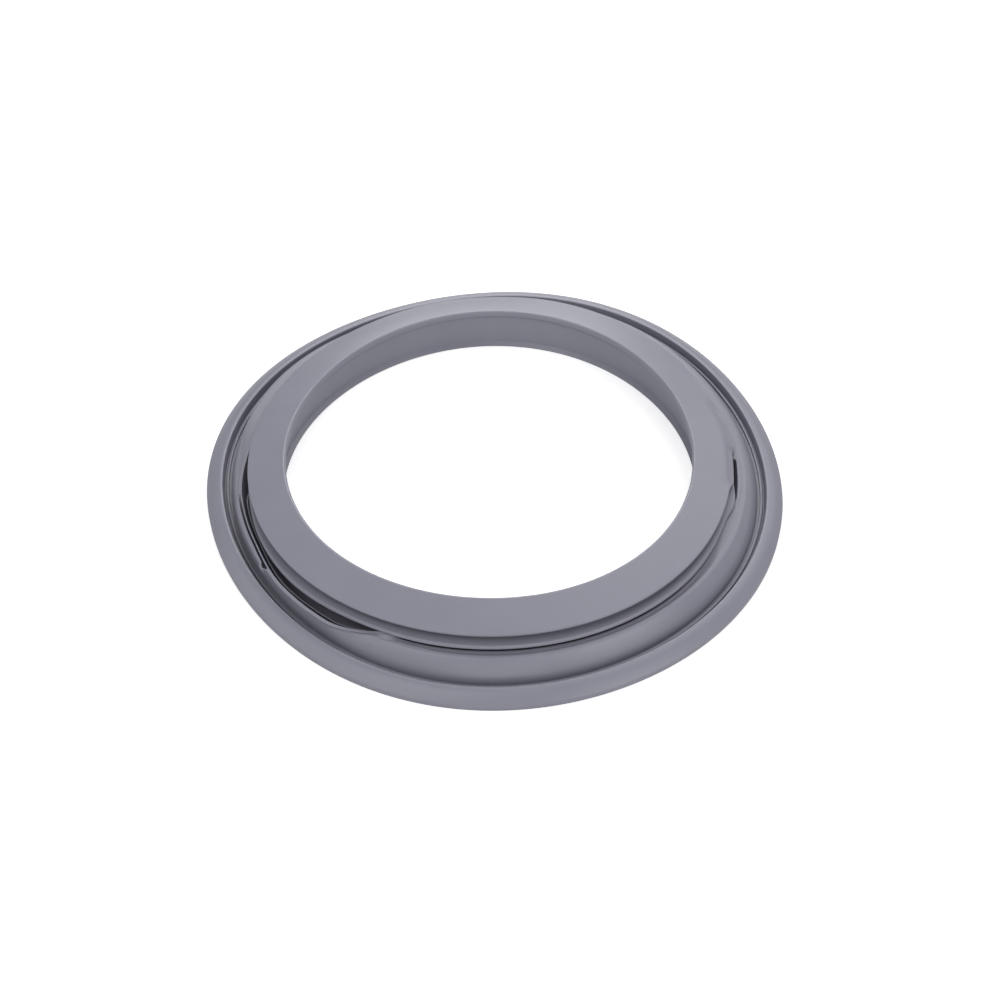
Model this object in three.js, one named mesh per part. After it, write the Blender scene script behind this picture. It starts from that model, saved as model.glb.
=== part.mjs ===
import * as THREE from 'three';

// Door seal of a front-loading washing machine: one moulded rubber bellows.
// It lies on its tub side, with the wide rim on the floor and the door flange on top.
// Sizes are in millimetres, Z points up, and the origin is the middle of the seal, on the floor.
// Angles are in degrees round the ring, from +X towards +Y. Widths are chained from the rim inwards.

// Rim that grips the mouth of the tub
const rimRadius = 195.2;
const rimEdgeHeight = 3.9;
const rimEdgeRounding = 1.4;
const rimFaceWidth = 11.4;
const rimFaceRise = 5;
const rimLipRounding = 0.9;
const rimLipLean = 0.7;

// Channel that takes the lip of the tub, with a sealing bead on its floor
const channelWidth = 4.5;
const beadSetBack = 1.2;
const beadWidth = 1.8;
const beadHeight = 1.8;
const beadRounding = 0.6;

// Bellows wall, from the channel up to the crest of the fold
const skin = 2.6;
const bellowsWidth = 14.7;
const crestHeight = 16.4;
const crestRounding = 2.3;
const wallStartRise = 8;
const wallStartLean = 0.8;
const shoulderReach = 7;

// Hollow under the wall: how far its crown and its haunch are drawn towards the rim
const hollowCrown = 0.45;
const hollowHaunch = 0.6;

// Fold under the clamp ledge, with one thin inner pleat in its valley
const crestTuck = 2;
const foldSkin = 2.2;
const foldLean = 2.5;
const valleyRounding = 1;
const pleatSetBack = 2.8;
const pleatThickness = 1.8;
const pleatTipThickness = 1;
const pleatSpacing = 5.8;
const pleatHeight = 9.6;

// Collar: clamp ledge, clamp groove, door flange and inner wall
const foldGap = 1.2;
const ledgeOverhang = 2.7;
const ledgeThickness = 2;
const ledgeRounding = 0.8;
const grooveHeight = 4.9;
const grooveDepth = 8;
const grooveRounding = 1.5;
const flangeWidth = 25.6;
const flangeTipThickness = 1.5;
const flangeRise = 5.4;
const lipRounding = 2.2;
const lipDepth = 4.9;
const lipUndercut = 1.9;
const collarWall = 3.4;
const collarCornerRounding = 2.5;
const wallFlare = 3.9;
const footLipWidth = 3.2;
const footLipHeight = 3;
const footLipSlope = 1.2;
const footBaseInset = 0.6;

// Set of the soft ring as it lies: the collar sits askew and nothing is quite round.
// A wave has a depth in millimetres and the angle that it is turned by.
const collarOffsetX = -3.06;
const collarWave = 1.4;
const collarWaveTurn = 123;
const footLean = 4;
const footOval = 1.3;
const rimOval = 0.75;
const rimOvalTurn = 93;
const rimThreeWave = 1.45;
const rimThreeWaveTurn = -156;
const rimFourWave = 1.4;
const rimFourWaveTurn = 87;

// Stretch at the front left where the fold has sprung open
const openFrom = [165, 200];
const openUntil = [233, 247.5];
const openWallWidth = 5.1;
const openFollow = 0.55;
const openHollowHeight = 7;
const openHollowSetBack = 1;
const ledgeBulge = 3;
const ledgeBulgeSpan = [198, 246];
const ledgeDip = 1.9;
const ledgeDipSpan = [170, 206];

// Short slit at the right where the crest has slipped out from under the ledge
const slitSpan = [342, 359];
const slitRamp = 3;
const slitWidth = 4.8;

// Step in the open stretch: before it the wall has a broad top, and beyond it a slumping slope
const stepSpan = [204, 220];
const stepWidth = 2.8;
const slopeFrom = [207, 213];
const slopeUntil = [238, 252];
const slopeSlump = 3;

// Fineness of the mesh
const stationCount = 96;
const wallSteps = 6;
const hollowSteps = 4;

// A rounding takes at most this share of the shorter edge beside it
const roundingLimit = 0.45;

// Radii that the chain of widths gives where the ring is true
const trueWallFoot = rimRadius - rimFaceWidth - rimLipLean - channelWidth;
const trueLedge = trueWallFoot - bellowsWidth;

const radians = THREE.MathUtils.degToRad;
const smooth = THREE.MathUtils.smoothstep;
const mix = THREE.MathUtils.lerp;

// Waves round the ring: so many crests, so deep, turned by an angle
function wave(angle, crests, depth, turnedBy) {
  return depth * Math.cos(radians(crests * angle + turnedBy));
}

// One soft bump over a span of angles: 0 at both ends and 1 in the middle
function bump(angle, [from, until]) {
  const share = THREE.MathUtils.clamp((angle - from) / (until - from), 0, 1);
  return Math.sin(Math.PI * share) ** 2;
}

// 0 before the first pair of angles, 1 between the pairs and 0 after the second pair
function stretch(angle, rise, fall) {
  return smooth(angle, rise[0], rise[1]) * (1 - smooth(angle, fall[0], fall[1]));
}

// How far the soft rim stands outside its true circle
function rimWander(angle) {
  return wave(angle, 2, rimOval, rimOvalTurn)
    + wave(angle, 3, rimThreeWave, rimThreeWaveTurn)
    + wave(angle, 4, rimFourWave, rimFourWaveTurn);
}

// How far the collar's head stands outside a circle about the middle of the rim
function collarWander(angle) {
  return wave(angle, 1, collarOffsetX, 0) + wave(angle, 3, collarWave, collarWaveTurn);
}

// The collar's foot also leans towards the front and is slightly oval
function footWander(angle) {
  return collarWander(angle) - footLean * Math.sin(radians(angle)) + wave(angle, 2, footOval, 0);
}

// Rounds the corners of a closed outline. Each corner is [radius, height, rounding, steps],
// and one without a rounding stays a single point.
function roundCorners(corners) {
  const places = corners.map(([radius, height]) => new THREE.Vector2(radius, height));
  const outline = [];
  corners.forEach(([, , rounding = 0, steps = 1], index) => {
    const place = places[index];
    if (rounding === 0) {
      outline.push(place);
      return;
    }
    const before = places[(index + places.length - 1) % places.length].clone().sub(place);
    const after = places[(index + 1) % places.length].clone().sub(place);
    const shortest = Math.min(before.length(), after.length());
    const halfCorner = (before.angle() - after.angle()) / 2;
    const wanted = rounding / Math.abs(Math.tan(halfCorner));
    const cut = Math.min(wanted, shortest * roundingLimit);
    const start = place.clone().add(before.setLength(cut));
    const end = place.clone().add(after.setLength(cut));
    const arc = new THREE.QuadraticBezierCurve(start, place, end);
    outline.push(...arc.getPoints(steps));
  });
  return outline;
}

// Points of a curve from one place to another, as corners without a rounding
function curveBetween(start, startPull, endPull, end, steps) {
  const curve = new THREE.CubicBezierCurve(
    new THREE.Vector2(...start),
    new THREE.Vector2(...startPull),
    new THREE.Vector2(...endPull),
    new THREE.Vector2(...end),
  );
  return curve.getPoints(steps).map((point) => [point.x, point.y]);
}

// Section of the moulding at one angle, from the rim's base over the top and back underneath
function sectionAt(angle) {
  const rim = rimWander(angle);
  const collar = collarWander(angle);
  const foot = footWander(angle);
  const open = stretch(angle, openFrom, openUntil);
  const slope = stretch(angle, slopeFrom, slopeUntil);
  const [slitStart, slitEnd] = slitSpan;
  const slit = stretch(angle, [slitStart, slitStart + slitRamp], [slitEnd - slitRamp, slitEnd]);

  // Rim and channel
  const rimEdge = rimRadius + rim;
  const rimLip = rimEdge - rimFaceWidth;
  const rimLipHeight = rimEdgeHeight + rimFaceRise;
  const lipFoot = rimLip - rimLipLean;
  const beadOuter = lipFoot - beadSetBack;
  const beadInner = beadOuter - beadWidth;
  const beadTop = skin + beadHeight;
  const wallFoot = lipFoot - channelWidth;

  // Collar radii that the fold depends on
  const bulge = ledgeBulge * bump(angle, ledgeBulgeSpan);
  const dip = ledgeDip * bump(angle, ledgeDipSpan);
  const ledgeTip = trueLedge + collar + bulge - dip;
  const flangeEdge = trueLedge - ledgeOverhang + collar;

  // Crest and fold
  const closedCrest = ledgeTip - crestTuck;
  const broadTop = stepWidth * (1 - smooth(angle, ...stepSpan));
  const openCrest = trueWallFoot - openWallWidth - broadTop;
  const crest = mix(closedCrest, openCrest, open) + slit * slitWidth;
  const valleyCorner = crest - foldLean - openFollow * (crest - closedCrest);
  const pleatFoot = valleyCorner - pleatSetBack;
  const pleatTip = crest - pleatSpacing;
  const wallEnd = crest + crestRounding;
  const reach = mix(shoulderReach, 0, open);
  const shoulderHeight = crestHeight - slope * slopeSlump;

  // Hollow under the bellows wall
  const hollowTop = mix(crestHeight - skin, openHollowHeight, open);
  const hollowTip = mix(crest + foldSkin, crest - openHollowSetBack, open);
  const hollowFoot = wallFoot - skin;
  const hollowWidth = hollowFoot - hollowTip;

  // Heights of the collar
  const ledgeUnderside = crestHeight + foldGap;
  const ledgeTop = ledgeUnderside + ledgeThickness;
  const grooveTop = ledgeTop + grooveHeight;
  const flangeTipTop = grooveTop + flangeTipThickness;
  const flangeTop = flangeTipTop + flangeRise;
  const lipBottom = flangeTop - lipDepth;

  // Radii of the collar
  const grooveFloor = flangeEdge - grooveDepth;
  const lipNose = flangeEdge - flangeWidth;
  const wallTop = lipNose + lipUndercut;
  const footRadius = wallTop - collar + wallFlare + foot;
  const footTip = footRadius - footLipWidth;

  return roundCorners([
    [rimEdge, 0],
    [rimEdge, rimEdgeHeight, rimEdgeRounding, 2],
    [rimLip, rimLipHeight, rimLipRounding, 2],
    [lipFoot, skin],
    [beadOuter, skin],
    [beadOuter, beadTop, beadRounding],
    [beadInner, beadTop, beadRounding],
    [beadInner, skin],
    ...curveBetween(
      [wallFoot, skin],
      [wallFoot - wallStartLean, skin + wallStartRise],
      [wallEnd + reach, shoulderHeight],
      [wallEnd, crestHeight],
      wallSteps,
    ),
    [crest, crestHeight, crestRounding, 2],
    [valleyCorner, skin, valleyRounding],
    [pleatFoot, skin],
    [pleatTip + pleatTipThickness / 2, pleatHeight],
    [pleatTip - pleatTipThickness / 2, pleatHeight],
    [pleatFoot - pleatThickness, skin],
    [footRadius + collarWall, skin, collarCornerRounding],
    [wallTop + collarWall, ledgeUnderside, collarCornerRounding],
    [ledgeTip, ledgeUnderside],
    [ledgeTip - ledgeThickness / 2, ledgeTop, ledgeRounding],
    [grooveFloor, ledgeTop, grooveRounding],
    [grooveFloor, grooveTop, grooveRounding],
    [flangeEdge, grooveTop],
    [flangeEdge, flangeTipTop, flangeTipThickness / 2],
    [lipNose, flangeTop, lipRounding, 2],
    [lipNose, lipBottom, lipRounding / 2],
    [wallTop, lipBottom],
    [footRadius, footLipHeight],
    [footTip, footLipSlope],
    [footTip + footBaseInset, 0],
    [valleyCorner + foldSkin, 0],
    ...curveBetween(
      [hollowTip, hollowTop],
      [hollowTip + hollowWidth * hollowCrown, hollowTop],
      [hollowFoot - wallStartLean / 2, hollowTop * hollowHaunch],
      [hollowFoot, 0],
      hollowSteps,
    ),
  ]);
}

// The ring: a lathe gives the closed mesh, and each of its points then takes its own station's
// place. The soft ring isn't true, so its box is centred on the origin afterwards.
function makeSeal() {
  const firstSection = sectionAt(0);
  const profile = [...firstSection, firstSection[0]];
  const geometry = new THREE.LatheGeometry(profile, stationCount);
  const places = geometry.attributes.position;
  for (let station = 0; station <= stationCount; station += 1) {
    const angle = (360 / stationCount) * (station % stationCount);
    const section = sectionAt(angle);
    const turn = radians(angle);
    for (let step = 0; step < profile.length; step += 1) {
      const point = section[step % section.length];
      const index = station * profile.length + step;
      places.setXYZ(index, point.x * Math.cos(turn), point.x * Math.sin(turn), point.y);
    }
  }
  geometry.computeBoundingBox();
  const middle = geometry.boundingBox.getCenter(new THREE.Vector3());
  geometry.translate(-middle.x, -middle.y, 0);
  geometry.computeVertexNormals();
  return geometry;
}

const rubber = new THREE.MeshStandardMaterial({ color: 0x8d8c96, roughness: 0.55, metalness: 0 });
const seal = new THREE.Mesh(makeSeal(), rubber);
seal.name = 'door_seal';

const doorSeal = new THREE.Group();
doorSeal.add(seal);

export default doorSeal;
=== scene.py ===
import math

import bpy
from mathutils import Matrix, Vector


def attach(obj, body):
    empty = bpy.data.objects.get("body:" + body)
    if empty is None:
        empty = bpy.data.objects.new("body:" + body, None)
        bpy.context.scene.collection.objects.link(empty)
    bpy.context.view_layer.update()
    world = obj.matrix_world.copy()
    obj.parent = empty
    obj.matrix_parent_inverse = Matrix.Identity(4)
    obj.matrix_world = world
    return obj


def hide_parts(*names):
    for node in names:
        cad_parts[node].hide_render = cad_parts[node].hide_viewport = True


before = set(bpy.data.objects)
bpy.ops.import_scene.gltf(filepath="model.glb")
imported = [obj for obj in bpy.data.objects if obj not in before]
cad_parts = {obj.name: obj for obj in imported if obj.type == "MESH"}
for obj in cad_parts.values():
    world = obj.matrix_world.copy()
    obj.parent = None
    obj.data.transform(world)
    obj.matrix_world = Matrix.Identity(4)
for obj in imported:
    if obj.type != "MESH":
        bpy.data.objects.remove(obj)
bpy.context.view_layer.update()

# Camera.
# It stands in front of the seal and looks down on it from nearly halfway up, a little under a
# metre away, rolled by less than a degree. It aims at the floor in front of the ring's middle.
camera_elevation = math.radians(46.65)
camera_azimuth = math.radians(-0.26)
camera_roll = math.radians(-0.7)
camera_distance = 0.9398
camera_lens = 50.2
camera_aim = Vector((0.0044, -0.0243, 0))

towards_camera = Vector((
    math.sin(camera_azimuth) * math.cos(camera_elevation),
    -math.cos(camera_azimuth) * math.cos(camera_elevation),
    math.sin(camera_elevation),
))
level_right = Vector((math.cos(camera_azimuth), math.sin(camera_azimuth), 0))
level_up = towards_camera.cross(level_right)
image_right = level_right * math.cos(camera_roll) + level_up * math.sin(camera_roll)
image_up = level_up * math.cos(camera_roll) - level_right * math.sin(camera_roll)
bpy.ops.object.camera_add()
camera = bpy.context.object
camera.name = "camera"
camera.matrix_world = Matrix.Translation(camera_aim + towards_camera * camera_distance) @ (
    Matrix((image_right, image_up, towards_camera)).transposed().to_4x4()
)
camera.data.lens = camera_lens
bpy.context.scene.camera = camera

# Floor and light.
# A white sweep carries the seal in a pale room. Ten soft boxes stand round it, the strongest at the
# back, with none straight above. The sweep looks white and keeps the seal's shadow.
floor_size = 8
floor_depth = 0.0002
floor_bounce = 0.8
floor_tone = 0.95
floor_glow = 0.5
room_light = 0.25


def srgb(hex_colour):
    """A colour written as sRGB hex, as the linear colour that a shader takes."""
    parts = [int(hex_colour[i:i + 2], 16) / 255 for i in (0, 2, 4)]
    linear = [p / 12.92 if p <= 0.04045 else ((p + 0.055) / 1.055) ** 2.4 for p in parts]
    return (*linear, 1)


def add_node(tree, kind, links=None, **settings):
    """Adds a node to a material or world, with its settings and the links into its sockets."""
    node = tree.nodes.new(kind)
    for name, value in settings.items():
        if hasattr(node, name):
            setattr(node, name, value)
        else:
            node.inputs[name.replace("_", " ")].default_value = value
    for socket, source in (links or {}).items():
        tree.links.new(source, node.inputs[socket])
    return node


bpy.ops.mesh.primitive_plane_add(size=floor_size, location=(0, 0, -floor_depth))
floor = bpy.context.object
floor.name = "floor"
floor_paper = bpy.data.materials.new("matt white paper")
floor_paper.use_nodes = True
tree = floor_paper.node_tree
tree.nodes.clear()
ray = add_node(tree, "ShaderNodeLightPath")
tone = add_node(tree, "ShaderNodeMapRange", {"Value": ray.outputs["Is Camera Ray"]},
                To_Min=floor_bounce, To_Max=floor_tone)
paper = add_node(tree, "ShaderNodeBsdfDiffuse", {"Color": tone.outputs[0]})
level = add_node(tree, "ShaderNodeMapRange", {"Value": ray.outputs["Is Camera Ray"]},
                 To_Min=0, To_Max=floor_glow)
glow = add_node(tree, "ShaderNodeEmission", {"Strength": level.outputs[0]}, Color=(1, 1, 1, 1))
both = add_node(tree, "ShaderNodeAddShader", {0: paper.outputs[0], 1: glow.outputs[0]})
add_node(tree, "ShaderNodeOutputMaterial", {"Surface": both.outputs[0]})
floor.data.materials.append(floor_paper)

world = bpy.data.worlds.new("white studio")
bpy.context.scene.world = world
world.use_nodes = True
tree = world.node_tree
tree.nodes.clear()
ray = add_node(tree, "ShaderNodeLightPath")
level = add_node(tree, "ShaderNodeMapRange", {"Value": ray.outputs["Is Camera Ray"]},
                 To_Min=room_light, To_Max=1)
white = add_node(tree, "ShaderNodeBackground", {"Strength": level.outputs[0]}, Color=(1, 1, 1, 1))
add_node(tree, "ShaderNodeOutputWorld", {"Surface": white.outputs[0]})

# Each soft box: its bearing from the seal (0 right, 90 back), its height as an angle, its power.
box_distance = 1.5
box_size = 0.8
soft_boxes = {
    "box_at_the_back": (90, 35, 8.1),
    "low_box_at_the_back": (90, 12, 1.3),
    "box_at_the_back_right": (45, 35, 2.7),
    "high_box_at_the_back_right": (45, 65, 2.5),
    "box_at_the_left": (180, 35, 2.1),
    "box_at_the_front_left": (225, 35, 2),
    "high_box_at_the_front_left": (225, 65, 2.9),
    "low_box_at_the_front": (270, 12, 2.7),
    "box_at_the_front_right": (315, 35, 4.4),
    "low_box_at_the_front_right": (315, 12, 1.3),
}
for name, (bearing, height, power) in soft_boxes.items():
    turn, rise = math.radians(bearing), math.radians(height)
    way = Vector((math.cos(turn) * math.cos(rise), math.sin(turn) * math.cos(rise), math.sin(rise)))
    bpy.ops.object.light_add(type="AREA", location=way * box_distance)
    lamp = bpy.context.object
    lamp.name = name
    lamp.data.size = box_size
    lamp.data.energy = power
    lamp.rotation_mode = "QUATERNION"
    lamp.rotation_quaternion = (-way).to_track_quat("-Z", "Y")
bpy.context.scene.view_settings.view_transform = "Standard"

# Door seal.
# One ring of grey EPDM rubber, moulded in a turned steel mould and lying on its tub side. Its
# section runs over the tub rim, the channel with its bead, the bellows wall, the fold, the clamp
# ledge and groove, the door flange and the inner wall. Sizes are in millimetres, angles in degrees.
MM = 0.001
stations = 480
weld_distance = 0.01
smooth_below = 38

# Tub rim and channel
rim_radius = 195.12
rim_edge_height = 3.9
rim_edge_rounding = 1.4
rim_face_width = 11.4
rim_face_rise = 5
rim_face_swell = 2.6
rim_face_swell_width = 4
rim_lip_roll = 0.5
rim_lip_rounding = 0.9
rim_face_steps = 7
rim_lip_lean = 0.7
channel_width = 4.5
bead_set_back = 1.2
bead_width = 1.8
bead_height = 1.8
bead_rounding = 0.6

# Bellows wall
skin = 2.6
bellows_width = 14.7
crest_height = 16.4
crest_rounding = 2.3
crest_dip = 1.1
crest_dip_from = (247, 250)
crest_dip_until = (322, 338)
wall_start_rise = 8
wall_start_lean = 0.8
wall_knee_rise = 5
shoulder_set_in = 9.2
left_shoulder_set_in = 5.2
left_shoulder_from = (105, 150)
left_shoulder_until = (225, 250)
shoulder_rounding = 2.4
wall_side_steps = 12
wall_corner_steps = 6
wall_top_steps = 4
hollow_crown = 0.45
hollow_haunch = 0.6
hollow_lean = 0.4
hollow_steps = 12

# Fold and its inner pleat
crest_tuck = 2
front_crest_tuck = 1
fold_skin = 2.2
fold_lean = 2.5
valley_rounding = 1
pleat_set_back = 2.8
pleat_thickness = 1.8
pleat_tip_thickness = 1
pleat_spacing = 5.8
pleat_height = 9.6
pleat_rise = 3.4
pleat_reach = 3.4
pleat_rise_from = (184, 193)
pleat_rise_until = (216, 238)

# Collar
fold_gap = 1.2
ledge_overhang = 2.7
ledge_thickness = 2
ledge_rounding = 0.8
groove_height = 4.9
groove_depth = 8
groove_rounding = 1.5
flange_width = 25.6
flange_tip_thickness = 1.5
flange_rise = 5.3
flange_edge_share = 0.3
flange_edge_steps = 6
lip_rounding = 2.2
lip_underside_rounding = 1.1
lip_depth = 4.9
lip_undercut = 1.9
lip_hollow = 0.8
lip_hollow_height = 3
lip_hollow_rounding = 1
collar_wall = 3.4
collar_corner_rounding = 2.5
wall_flare = 3.9
foot_lip_width = 3.2
foot_lip_height = 3
foot_lip_slope = 1.2
foot_base_inset = 0.6

# Small roundings of the section's remaining corners
sharp_break = 0.3
plain_break = 0.4
soft_break = 0.5

# Set of the soft ring as it lies
collar_offset_x = -3.06
collar_wave = 1.4
collar_wave_turn = 123
foot_lean = 4
foot_oval = 1.3
rim_oval = 0.75
rim_oval_turn = 93
rim_three_wave = 1.45
rim_three_wave_turn = -156
rim_four_wave = 1.4
rim_four_wave_turn = 87

# Stretch at the front left where the fold has sprung open, with its step
open_from = (163, 192)
open_until = (233, 247.5)
open_wall_width = 5.1
open_follow = 0.25
open_hollow_height = 7
open_hollow_set_back = 1
ledge_bulge = 2
ledge_bulge_span = (198, 246)
ledge_reach = 1.5
ledge_reach_from = (228, 258)
ledge_reach_until = (312, 336)
ledge_dip = 1.9
ledge_dip_span = (170, 206)
step_span = (204, 220)
step_width = 2.8
slope_from = (212.4, 214.4)
slope_until = (238, 252)
slope_slump = 4.2

# Slot in the broad top of the wall before the step: it parts a thin inner lip from the top, and
# ends in a short tear that turns outwards
slot_set_back = 0.9
slot_width = 1.5
slot_depth = 5
slot_taper = 0.375
slot_from = (190, 195)
slot_until = (212.8, 213.8)
tear_width = 1.4
tear_from = (211.6, 212.5)

# Flap beside the end of the opening: its top lies against the ledge, and a crease crosses it
flap_lift = 1
flap_from = (242, 244.5)
flap_until = (247, 248.2)
crease_span = (241.4, 247.7)
crease_radii = (177.6, 164.4)
crease_from = (240, 243.5)
crease_until = (247.4, 248.4)
crease_rise = 0.7
crease_fade = 5
crease_groove = 0.7
crease_width = 1.2

# Short slit at the right, where the flange's edge hangs down over the ledge and shuts the groove.
# These angles count from -180 to 180, because the stretch runs across 0
slit_from = (-18.5, -15)
slit_until = (-2.3, -1)
slit_width = 4.7
slit_lip = 2.4
slit_lip_from = (-23, -17.5)
slit_lip_until = (-17, -9)
droop_from = (-16, -10)
droop_until = (9, 20)
droop_bend_set_in = 2.4
droop_edge_set_in = 0.5
droop_edge_rise = 0.2
droop_ledge_reach = 2.4
droop_ledge_from = (-1.5, 0)
droop_ledge_until = (8, 18)

# At the back the flange's edge sags a little, so that the rim shows behind it
back_sag = 1.3
back_sag_from = (72, 92)
back_sag_until = (122, 150)

true_wall_foot = rim_radius - rim_face_width - rim_lip_lean - channel_width
true_ledge = true_wall_foot - bellows_width


def wave(angle, crests, depth, turned_by):
    """Waves round the ring: so many crests, so deep, turned by an angle."""
    return depth * math.cos(math.radians(crests * angle + turned_by))


def smooth(value, low, high):
    """0 below the low end, 1 above the high end and a soft S between them."""
    share = min(max((value - low) / (high - low), 0), 1)
    return share * share * (3 - 2 * share)


def mix(first, second, share):
    """A share of the way from one value to another."""
    return first + (second - first) * share


def bump(angle, span):
    """One soft bump over a span of angles: 0 at both ends and 1 in the middle."""
    share = min(max((angle - span[0]) / (span[1] - span[0]), 0), 1)
    return math.sin(math.pi * share) ** 2


def stretch(angle, rise, fall):
    """0 before the first pair of angles, 1 between the pairs and 0 after the second pair."""
    return smooth(angle, *rise) * (1 - smooth(angle, *fall))


def curve_between(start, start_pull, end_pull, end, steps):
    """Points of a curve from one place to another, as corners without a rounding."""
    points = []
    for step in range(steps + 1):
        t = step / steps
        weights = ((1 - t) ** 3, 3 * t * (1 - t) ** 2, 3 * t * t * (1 - t), t ** 3)
        places = (start, start_pull, end_pull, end)
        points.append(tuple(sum(w * p[axis] for w, p in zip(weights, places)) for axis in (0, 1)))
    return points


def round_corners(corners, limit=0.45):
    """Rounds the corners of a closed outline. Each is (radius, height, rounding, steps)."""
    outline = []
    for index, corner in enumerate(corners):
        place = Vector(corner[:2])
        if len(corner) == 2:
            outline.append(place)
            continue
        rounding, steps = corner[2:]
        before = Vector(corners[index - 1][:2]) - place
        after = Vector(corners[(index + 1) % len(corners)][:2]) - place
        half_corner = before.angle(after) / 2
        cut = min(rounding / math.tan(half_corner), before.length * limit, after.length * limit)
        start = place + before.normalized() * cut
        end = place + after.normalized() * cut
        for step in range(steps + 1):
            t = step / steps
            outline.append(start * (1 - t) ** 2 + place * 2 * t * (1 - t) + end * t * t)
    return outline


def section_at(angle):
    """The moulding's outline at one angle, from the rim's base over the top and back below."""
    rim = (
        wave(angle, 2, rim_oval, rim_oval_turn)
        + wave(angle, 3, rim_three_wave, rim_three_wave_turn)
        + wave(angle, 4, rim_four_wave, rim_four_wave_turn)
    )
    collar = wave(angle, 1, collar_offset_x, 0) + wave(angle, 3, collar_wave, collar_wave_turn)
    foot = collar - foot_lean * math.sin(math.radians(angle)) + wave(angle, 2, foot_oval, 0)
    opened = stretch(angle, open_from, open_until)
    slope = stretch(angle, slope_from, slope_until)
    signed_angle = (angle + 180) % 360 - 180
    slit = stretch(signed_angle, slit_from, slit_until)
    droop = stretch(signed_angle, droop_from, droop_until)
    slot = stretch(angle, slot_from, slot_until)
    tear = stretch(angle, tear_from, slot_until)
    pleat = stretch(angle, pleat_rise_from, pleat_rise_until)

    rim_edge = rim_radius + rim
    rim_lip = rim_edge - rim_face_width
    rim_lip_height = rim_edge_height + rim_face_rise
    rim_face = curve_between(
        (rim_edge, rim_edge_height),
        (rim_edge - rim_face_swell_width, rim_edge_height + rim_face_swell),
        (rim_lip + rim_face_swell_width, rim_lip_height + rim_lip_roll),
        (rim_lip, rim_lip_height - rim_lip_roll),
        rim_face_steps,
    )
    lip_foot = rim_lip - rim_lip_lean
    bead_outer = lip_foot - bead_set_back
    bead_inner = bead_outer - bead_width
    bead_top = skin + bead_height
    wall_foot = lip_foot - channel_width

    bulge = ledge_bulge * bump(angle, ledge_bulge_span)
    dip = ledge_dip * bump(angle, ledge_dip_span)
    front = stretch(angle, ledge_reach_from, ledge_reach_until)
    set_ledge = true_ledge + collar + bulge - dip + front * ledge_reach
    slit_side = stretch(signed_angle, slit_lip_from, slit_lip_until) * slit_lip
    droop_side = stretch(signed_angle, droop_ledge_from, droop_ledge_until) * droop_ledge_reach
    ledge_tip = set_ledge + slit_side + droop_side

    closed_crest = set_ledge - mix(crest_tuck, front_crest_tuck, front)
    dipped = crest_dip * stretch(angle, crest_dip_from, crest_dip_until)
    lifted = flap_lift * stretch(angle, flap_from, flap_until)
    crest_top = crest_height - dipped + lifted
    broad_top = step_width * (1 - smooth(angle, *step_span))
    open_crest = true_wall_foot - open_wall_width - broad_top
    crest = mix(closed_crest, open_crest, opened) + slit * slit_width
    valley_corner = crest - fold_lean - open_follow * (crest - closed_crest)
    pleat_foot = valley_corner - pleat_set_back
    pleat_tip = crest - pleat_spacing + pleat * pleat_reach
    pleat_top = pleat_height + pleat * pleat_rise
    wall_end = crest + crest_rounding + slot * slot_width + tear * tear_width
    slot_inner = crest + slot_set_back
    slot_outer = slot_inner + slot_width + tear * tear_width
    slot_floor = crest_top - slot * slot_depth

    knee = Vector((wall_foot - wall_start_lean, skin + wall_knee_rise))
    left = stretch(angle, left_shoulder_from, left_shoulder_until)
    set_in = mix(shoulder_set_in, left_shoulder_set_in, left)
    shoulder = Vector((wall_foot - set_in, crest_height))
    side_end = shoulder + (knee - shoulder).normalized() * shoulder_rounding
    top_start = shoulder - Vector((shoulder_rounding, 0))
    top_end = (wall_end, crest_top)
    closed_wall = [
        *curve_between((wall_foot, skin), knee, side_end, side_end, wall_side_steps),
        *curve_between(side_end, shoulder, shoulder, top_start, wall_corner_steps)[1:],
        *curve_between(top_start, top_start, top_end, top_end, wall_top_steps)[1:],
    ]
    open_wall = curve_between(
        (wall_foot, skin),
        (wall_foot - wall_start_lean, skin + wall_start_rise),
        (wall_end + broad_top / 2, crest_height - slope * slope_slump),
        top_end,
        wall_side_steps + wall_corner_steps + wall_top_steps,
    )
    wall = [Vector(shut).lerp(Vector(sprung), opened) for shut, sprung in zip(closed_wall, open_wall)]
    crease = stretch(angle, crease_from, crease_until)
    crease_share = (angle - crease_span[0]) / (crease_span[1] - crease_span[0])
    crease_radius = mix(*crease_radii, crease_share)
    for point in wall:
        inside = crease_radius - point.x
        if inside > 0:
            point.y += crease * crease_rise * math.exp(-inside / crease_fade)
        else:
            point.y -= crease * crease_groove * math.exp(inside / crease_width)

    hollow_top = mix(crest_height - skin, open_hollow_height, opened)
    hollow_tip = mix(crest + fold_skin, crest - open_hollow_set_back, opened)
    hollow_foot = wall_foot - skin
    hollow_width = hollow_foot - hollow_tip

    ledge_underside = crest_height + fold_gap
    ledge_top = ledge_underside + ledge_thickness
    true_flange_edge = true_ledge - ledge_overhang + collar
    true_tip_top = ledge_top + groove_height + flange_tip_thickness
    flange_edge = mix(true_flange_edge, ledge_tip - droop_edge_set_in, droop)
    sag = back_sag * stretch(angle, back_sag_from, back_sag_until)
    groove_top = ledge_top + groove_height * (1 - droop) + droop_edge_rise * droop - sag
    flange_tip_top = groove_top + flange_tip_thickness
    flange_top = true_tip_top + flange_rise
    lip_bottom = flange_top - lip_depth

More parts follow.
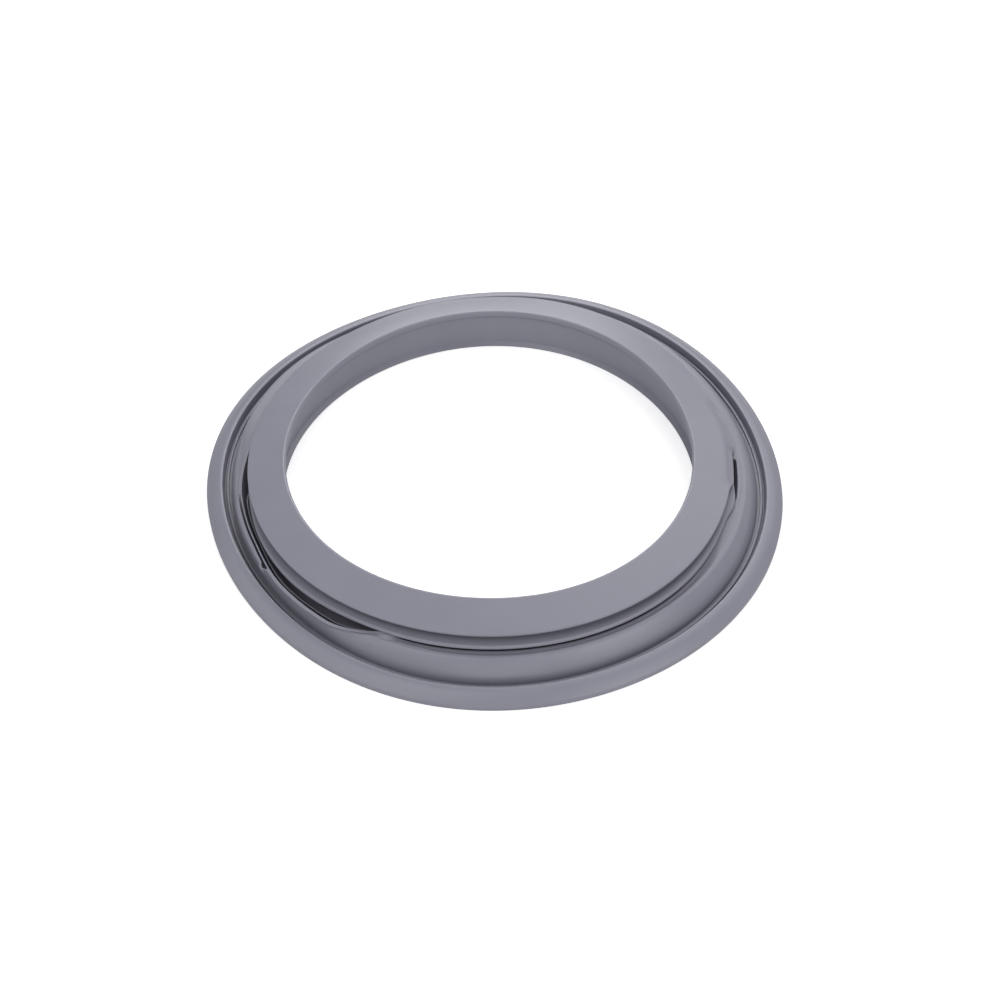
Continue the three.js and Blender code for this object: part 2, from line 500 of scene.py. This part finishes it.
    groove_floor = true_flange_edge - groove_depth
    lip_nose = true_flange_edge - flange_width
    edge = Vector((flange_edge, flange_tip_top))
    true_edge = Vector((true_flange_edge, true_tip_top))
    cone = true_edge.lerp(Vector((lip_nose, flange_top)), flange_edge_share)
    bend = true_edge.lerp(cone, droop_bend_set_in / flange_width / flange_edge_share)
    flange_outer = curve_between(
        edge,
        edge.lerp(cone, 1 / 3).lerp(bend, droop),
        edge.lerp(cone, 2 / 3).lerp(bend, droop),
        cone,
        flange_edge_steps,
    )
    wall_top = lip_nose + lip_undercut
    foot_radius = wall_top - collar + wall_flare + foot
    foot_tip = foot_radius - foot_lip_width

    # Each corner: its radius, its height, its rounding and how many steps that takes
    return round_corners([
        (rim_edge, 0, sharp_break, 2),
        (rim_edge, rim_edge_height, rim_edge_rounding, 6),
        *rim_face[1:-1],
        (*rim_face[-1], rim_lip_rounding, 5),
        (lip_foot, skin, plain_break, 3),
        (bead_outer, skin, sharp_break, 2),
        (bead_outer, bead_top, bead_rounding, 4),
        (bead_inner, bead_top, bead_rounding, 4),
        (bead_inner, skin, sharp_break, 2),
        *[tuple(point) for point in wall],
        (slot_outer, crest_top),
        (slot_outer - slot_taper, slot_floor),
        (slot_inner + slot_taper, slot_floor),
        (slot_inner, crest_top),
        (crest, crest_top, soft_break, 4),
        (valley_corner, skin, valley_rounding, 4),
        (pleat_foot, skin, plain_break, 2),
        (pleat_tip + pleat_tip_thickness / 2, pleat_top, sharp_break, 2),
        (pleat_tip - pleat_tip_thickness / 2, pleat_top, sharp_break, 2),
        (pleat_foot - pleat_thickness, skin, plain_break, 2),
        (foot_radius + collar_wall, skin, collar_corner_rounding, 5),
        (wall_top + collar_wall, ledge_underside, collar_corner_rounding, 5),
        (ledge_tip, ledge_underside, sharp_break, 2),
        (ledge_tip - ledge_thickness / 2, ledge_top, ledge_rounding, 5),
        (groove_floor, ledge_top, groove_rounding, 5),
        (groove_floor, groove_top, groove_rounding, 5),
        (flange_edge, groove_top, sharp_break, 2),
        (flange_edge, flange_tip_top, flange_tip_thickness / 2, 5),
        *flange_outer[1:],
        (lip_nose, flange_top, lip_rounding, 8),
        (lip_nose, lip_bottom, lip_underside_rounding, 5),
        (wall_top + lip_hollow, lip_bottom, plain_break, 3),
        (wall_top, lip_bottom - lip_hollow_height, lip_hollow_rounding, 3),
        (foot_radius, foot_lip_height, soft_break, 3),
        (foot_tip, foot_lip_slope, plain_break, 4),
        (foot_tip + foot_base_inset, 0),
        (valley_corner + fold_skin, 0, sharp_break, 2),
        *curve_between(
            (hollow_tip, hollow_top),
            (hollow_tip + hollow_width * hollow_crown, hollow_top),
            (hollow_foot - hollow_lean, hollow_top * hollow_haunch),
            (hollow_foot, 0),
            hollow_steps,
        ),
    ])


# The outline is laid out as a ring of points at station 0 and spun round the seal's axis. Each
# point keeps its number in the outline, and then takes its place in its own station's section.
sections = [section_at(360 / stations * station) for station in range(stations)]
bpy.ops.object.select_all(action="DESELECT")
bpy.ops.mesh.primitive_circle_add(vertices=len(sections[0]), radius=rim_face_width * MM)
seal = bpy.context.object
seal.name = "moulded_door_seal"
mesh = seal.data
labels = mesh.attributes.new("outline_number", "INT", "POINT")
for vertex, point in zip(mesh.vertices, sections[0]):
    vertex.co = (point.x * MM, 0, point.y * MM)
    labels.data[vertex.index].value = vertex.index
bpy.ops.object.mode_set(mode="EDIT")
bpy.ops.mesh.select_all(action="SELECT")
bpy.ops.mesh.spin(steps=stations, angle=math.tau, use_auto_merge=True, center=(0, 0, 0), axis=(0, 0, 1))
bpy.ops.mesh.select_all(action="SELECT")
bpy.ops.mesh.remove_doubles(threshold=weld_distance * MM)
bpy.ops.mesh.normals_make_consistent(inside=False)
bpy.ops.object.mode_set(mode="OBJECT")
for vertex, label in zip(mesh.vertices, mesh.attributes["outline_number"].data):
    turn = math.atan2(vertex.co.y, vertex.co.x) % math.tau
    station = round(turn / math.tau * stations) % stations
    turn = math.tau * station / stations
    point = sections[station][label.value]
    vertex.co = (point.x * math.cos(turn) * MM, point.x * math.sin(turn) * MM, point.y * MM)
lowest = [min(vertex.co[axis] for vertex in mesh.vertices) for axis in (0, 1)]
highest = [max(vertex.co[axis] for vertex in mesh.vertices) for axis in (0, 1)]
middle = Vector(((lowest[0] + highest[0]) / 2, (lowest[1] + highest[1]) / 2, 0))
mesh.transform(Matrix.Translation(-middle))
mesh.attributes.remove(mesh.attributes["outline_number"])
bpy.ops.object.shade_smooth_by_angle(angle=math.radians(smooth_below))

# EPDM rubber, compression moulded: mid grey with a violet cast, matt, with a soft sheen where
# light grazes it. The mould's turned steel leaves a faint grain, and a thin bloom lies on it in
# clouds. The channel, the groove, the inside of the fold and the other hollows get a painted shade:
# an occlusion mask mixes a darker grey into the colour where the rubber is closed in.
rubber_grey = "8a8a97"
rubber_bloom = "92929f"
painted_hollow_shade_grey = "80808c"
cloud_size = 30
grain_size = 0.8
grain_depth = 0.05
smoothest = 0.3
roughest = 0.4
painted_shade_reach = 25
painted_shade_full_at = 0.35
painted_shade_none_at = 0.9
rubber = bpy.data.materials.new("moulded EPDM rubber")
rubber.use_nodes = True
tree = rubber.node_tree
tree.nodes.clear()
place = add_node(tree, "ShaderNodeTexCoord")
cloud = add_node(tree, "ShaderNodeTexNoise", {"Vector": place.outputs["Object"]},
                 Scale=1 / (cloud_size * MM), Detail=4, Roughness=0.55)
tone = add_node(tree, "ShaderNodeMix", {0: cloud.outputs["Fac"]}, data_type="RGBA")
tone.inputs[6].default_value = srgb(rubber_grey)
tone.inputs[7].default_value = srgb(rubber_bloom)
# Painted shade: an occlusion node measures how closed in each point is, and the colour is mixed towards
# a darker grey there, where shade falls.
painted_shade_occlusion = add_node(tree, "ShaderNodeAmbientOcclusion", samples=8, only_local=True,
                Distance=painted_shade_reach * MM)
shut = add_node(tree, "ShaderNodeMapRange", {"Value": painted_shade_occlusion.outputs["AO"]})
shut.inputs["From Min"].default_value = painted_shade_none_at
shut.inputs["From Max"].default_value = painted_shade_full_at
# The painted shade of the hollows goes into the rubber's colour here.
colour = add_node(tree, "ShaderNodeMix", {0: shut.outputs[0], 6: tone.outputs[2]}, data_type="RGBA")
colour.inputs[7].default_value = srgb(painted_hollow_shade_grey)
grain = add_node(tree, "ShaderNodeTexNoise", {"Vector": place.outputs["Object"]},
                 Scale=1 / (grain_size * MM), Detail=3, Roughness=0.6)
relief = add_node(tree, "ShaderNodeBump", {"Height": grain.outputs["Fac"]},
                  Strength=0.25, Distance=grain_depth * MM)
dull = add_node(tree, "ShaderNodeMapRange", {"Value": cloud.outputs["Fac"]})
dull.inputs["To Min"].default_value = smoothest
dull.inputs["To Max"].default_value = roughest
shader = add_node(tree, "ShaderNodeBsdfPrincipled", {
    "Base Color": colour.outputs[2],
    "Roughness": dull.outputs[0],
    "Normal": relief.outputs[0],
}, IOR=1.52)
add_node(tree, "ShaderNodeOutputMaterial", {"Surface": shader.outputs[0]})
mesh.materials.clear()
mesh.materials.append(rubber)

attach(seal, "root")
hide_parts("door_seal")
